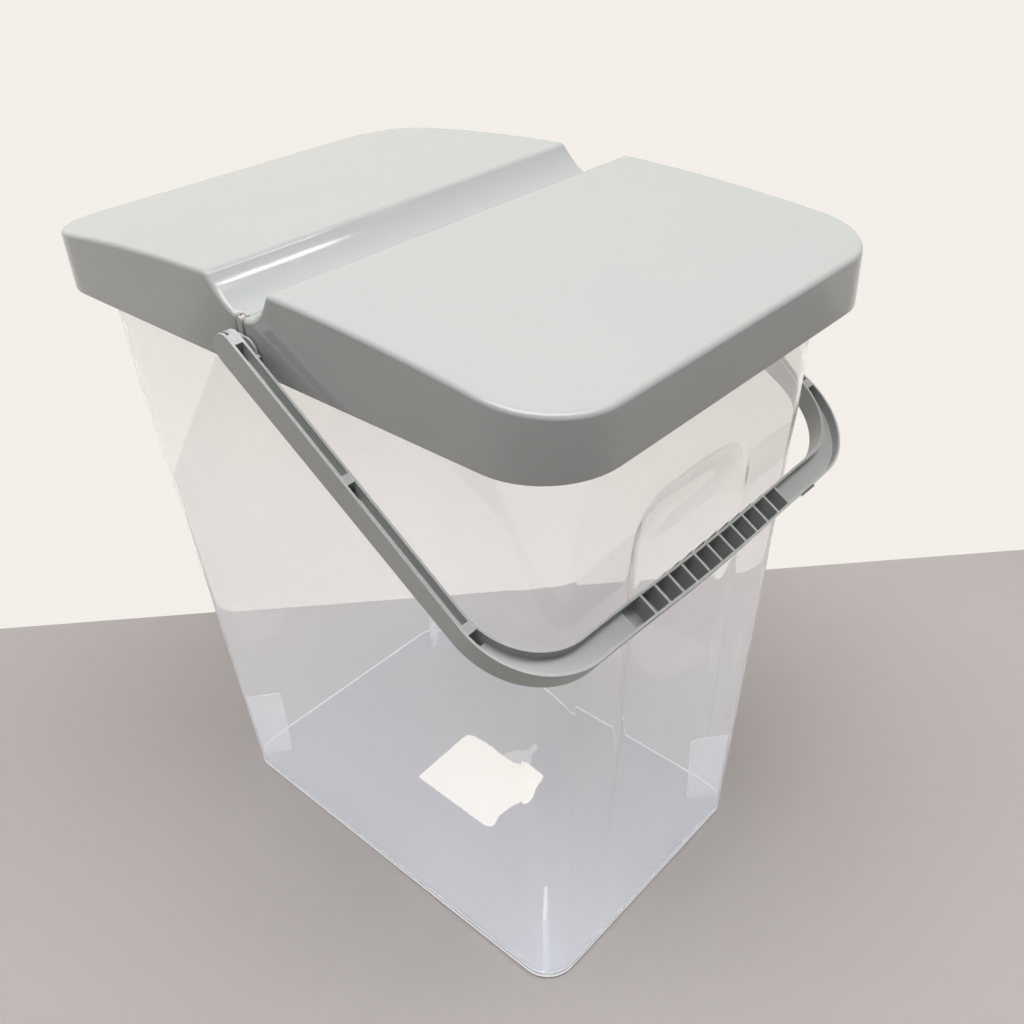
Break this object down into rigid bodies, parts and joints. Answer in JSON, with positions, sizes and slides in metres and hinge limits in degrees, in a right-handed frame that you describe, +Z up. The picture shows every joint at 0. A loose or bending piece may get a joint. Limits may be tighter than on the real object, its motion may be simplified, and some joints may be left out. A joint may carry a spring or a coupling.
{
  "type": "rice bin with flip lid",
  "caption": "Tall tapered translucent storage bin with a crowned lid whose front half flips up on a valley hinge, and a swinging carry handle with a ribbed grip.",
  "frame": {"origin": "middle of the footprint, on the surface that the bin stands on", "axes": "+Z up; X across the short side, along the hinge and the handle's pivots; the flap and the hanging handle face -Y"},
  "size_m": [0.2382, 0.3096, 0.3498],
  "materials": {
    "clear_plastic": "translucent, slightly milky polypropylene, smooth",
    "grey_plastic": "satin grey moulded polypropylene",
    "handle_plastic": "satin grey moulded polypropylene with pale worn rims",
    "paper": "matt torn paper"
  },
  "bodies": {
    "root": {"body_shell": "clear_plastic", "corner_fins": "clear_plastic", "pivot_posts": "clear_plastic", "paper_remnant": "paper"},
    "lid": {"rear_cover": "grey_plastic", "living_hinge": "grey_plastic"},
    "flap": {"flip_flap": "grey_plastic"},
    "handle": {"carry_handle": "handle_plastic"}
  },
  "joints": [
    {"name": "lid_lift_off", "type": "slide", "parent": "root", "child": "lid", "axis": [0, 0, 1], "range_m": [0, 0.06]},
    {"name": "flap_hinge", "type": "hinge", "parent": "lid", "child": "flap", "pos_m": [0, -0.0012, 0.3357], "axis": [-1, 0, 0], "range_deg": [0, 105]},
    {"name": "handle_swing", "type": "hinge", "parent": "root", "child": "handle", "pos_m": [0, 0, 0.3261], "axis": [-1, 0, 0], "range_deg": [0, 243]}
  ]
}
